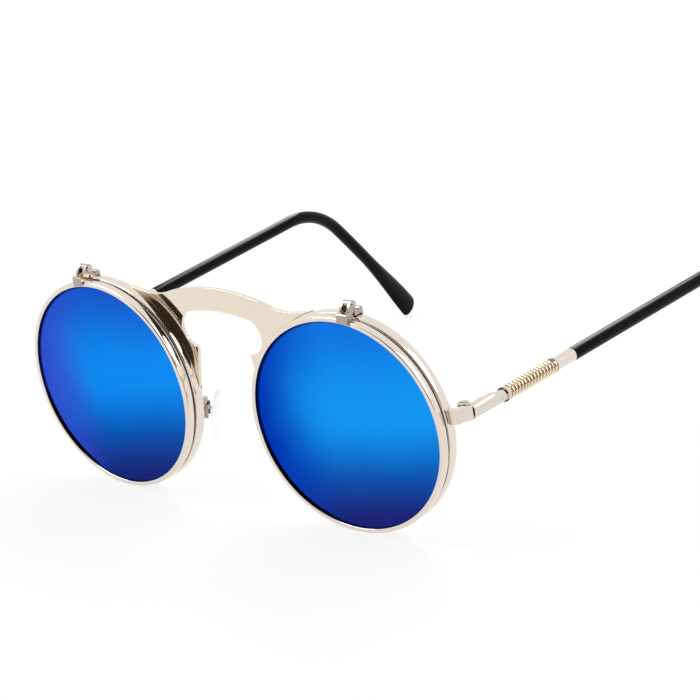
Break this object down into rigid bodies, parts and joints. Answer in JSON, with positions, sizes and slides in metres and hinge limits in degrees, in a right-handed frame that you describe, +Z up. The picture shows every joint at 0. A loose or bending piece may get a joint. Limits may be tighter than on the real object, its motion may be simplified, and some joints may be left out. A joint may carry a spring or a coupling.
{
  "type": "flip-up sunglasses",
  "caption": "Round metal flip-up sunglasses: mirrored lenses hinge up from clear ones, with a keyhole bridge, rocking nose pads and folding temples with coil springs.",
  "frame": {"origin": "on the table, under the middle of the bounding box of the open glasses, which stand on the lens bottoms and the ends of the temples", "axes": "+X across the face towards the right-hand lens seen from in front, +Y from the front towards the ears, +Z up"},
  "size_m": [0.1364, 0.157, 0.0541],
  "materials": {
    "satin_metal": "satin champagne plating",
    "rim_metal": "polished champagne plating",
    "screw_metal": "polished",
    "spring_metal": "polished, a little yellower than the frame",
    "mirror_lens": "blue mirror coating",
    "clear_lens": "clear, polished",
    "sleeve_plastic": "glossy black",
    "pad_silicone": "clear soft silicone"
  },
  "bodies": {
    "frame": {"bridge": "satin_metal", "eye_rim_right": "rim_metal", "eye_rim_left": "rim_metal", "clear_lens_right": "clear_lens", "clear_lens_left": "clear_lens", "flip_base_right": "rim_metal", "flip_base_left": "rim_metal", "end_piece_right": "rim_metal", "end_piece_left": "rim_metal", "temple_screw_right": "screw_metal", "temple_screw_left": "screw_metal", "pad_arm_right": "rim_metal", "pad_arm_left": "rim_metal", "pad_screw_right": "screw_metal", "pad_screw_left": "screw_metal"},
    "right_flip": {"flip_rim_right": "rim_metal", "mirror_lens_right": "mirror_lens", "flip_leaf_right": "rim_metal", "flip_screw_right": "screw_metal"},
    "left_flip": {"flip_rim_left": "rim_metal", "mirror_lens_left": "mirror_lens", "flip_leaf_left": "rim_metal", "flip_screw_left": "screw_metal"},
    "right_temple": {"temple_front_right": "rim_metal", "temple_rod_right": "spring_metal", "temple_spring_right": "spring_metal", "ferrule_right": "rim_metal", "temple_tip_right": "sleeve_plastic"},
    "left_temple": {"temple_front_left": "rim_metal", "temple_rod_left": "spring_metal", "temple_spring_left": "spring_metal", "ferrule_left": "rim_metal", "temple_tip_left": "sleeve_plastic"},
    "right_pad": {"nose_pad_right": "pad_silicone"},
    "left_pad": {"nose_pad_left": "pad_silicone"}
  },
  "joints": [
    {"name": "right_flip_hinge", "type": "hinge", "parent": "frame", "child": "right_flip", "pos_m": [0.03905, -0.07531, 0.05314], "axis": [-0.9986, -0.052, -0.0061], "range_deg": [0, 95]},
    {"name": "left_flip_hinge", "type": "hinge", "parent": "frame", "child": "left_flip", "pos_m": [-0.03905, -0.07531, 0.05314], "axis": [-0.9986, 0.052, 0.0061], "range_deg": [0, 95]},
    {"name": "right_temple_hinge", "type": "hinge", "parent": "frame", "child": "right_temple", "pos_m": [0.06, -0.06463, 0.02897], "axis": [0, -0.1164, 0.9932], "range_deg": [0, 90.3]},
    {"name": "left_temple_hinge", "type": "hinge", "parent": "frame", "child": "left_temple", "pos_m": [-0.06, -0.06463, 0.02897], "axis": [0, 0.1164, -0.9932], "range_deg": [0, 94]},
    {"name": "right_pad_pivot", "type": "hinge", "parent": "frame", "child": "right_pad", "pos_m": [0.0125, -0.06726, 0.0205], "axis": [0.4891, 0.848, 0.2041], "range_deg": [-12, 12]},
    {"name": "left_pad_pivot", "type": "hinge", "parent": "frame", "child": "left_pad", "pos_m": [-0.0125, -0.06726, 0.0205], "axis": [-0.4891, 0.848, 0.2041], "range_deg": [-12, 12]}
  ]
}
